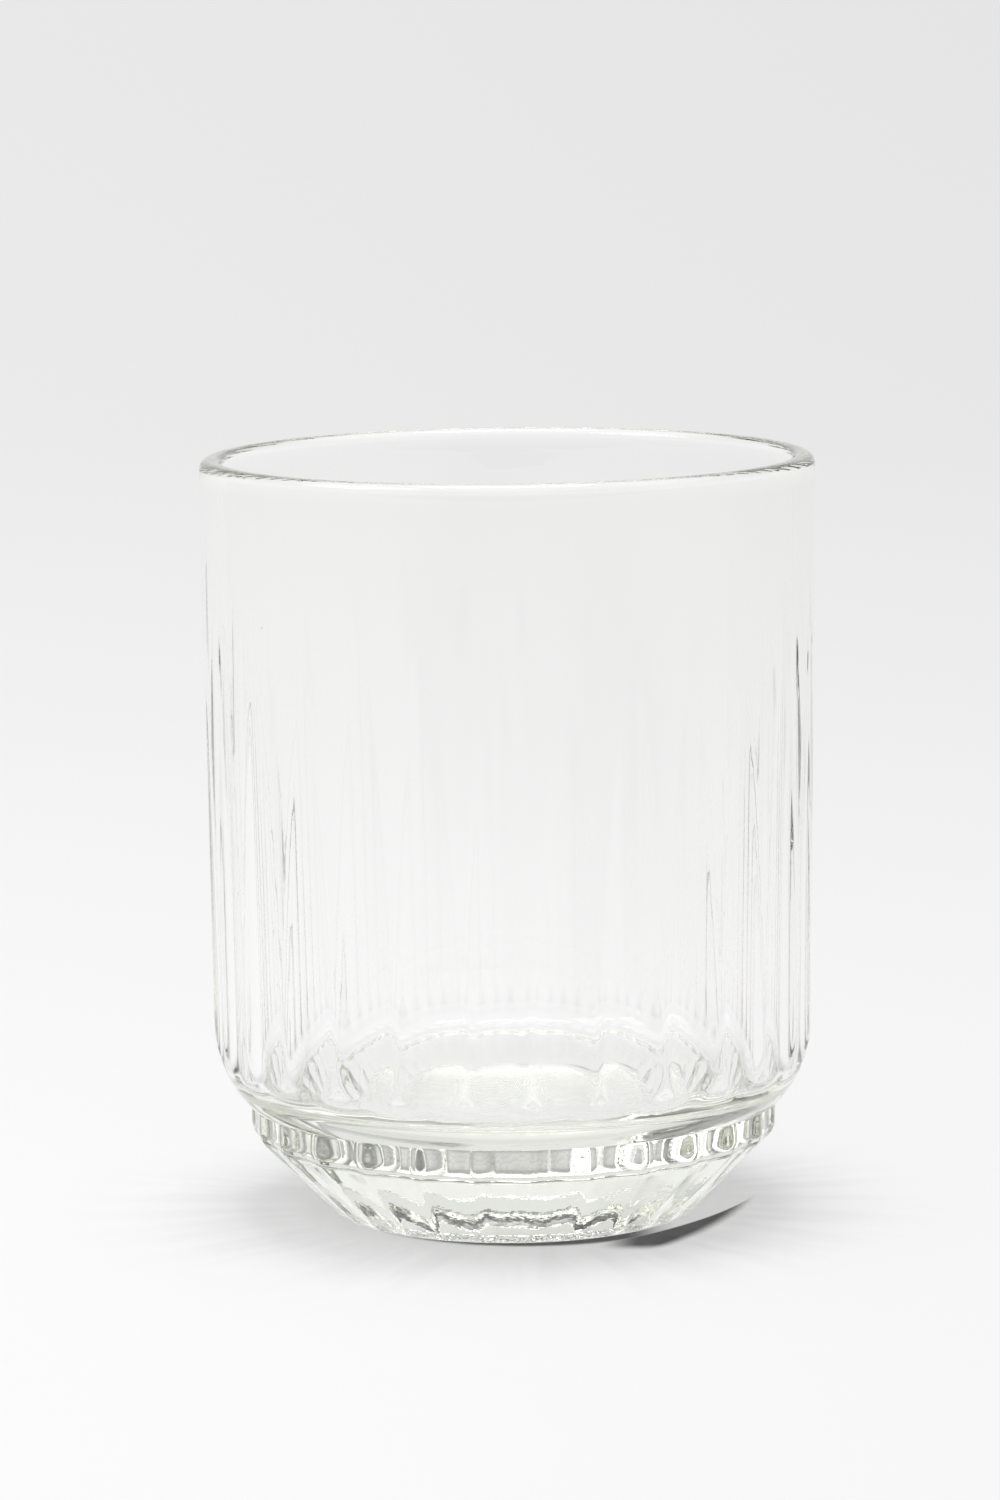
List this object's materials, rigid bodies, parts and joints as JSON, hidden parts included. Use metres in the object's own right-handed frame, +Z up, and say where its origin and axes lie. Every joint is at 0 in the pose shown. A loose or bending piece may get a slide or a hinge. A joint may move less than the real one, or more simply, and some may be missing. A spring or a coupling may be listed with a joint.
{
  "type": "juice glass",
  "caption": "Clear pressed-glass juice tumbler with a plain rim band, vertical flutes, a rounded shoulder and a narrow fluted stacking base.",
  "frame": {"origin": "centre of the foot, on the table that the tumbler stands on", "axes": "+Z up along the tumbler's axis, out through the mouth; +X to the right and +Y away in the pictured view"},
  "size_m": [0.075, 0.075, 0.093],
  "materials": {
    "clear_glass": "polished"
  },
  "bodies": {
    "root": {"tumbler": "clear_glass"}
  },
  "joints": []
}
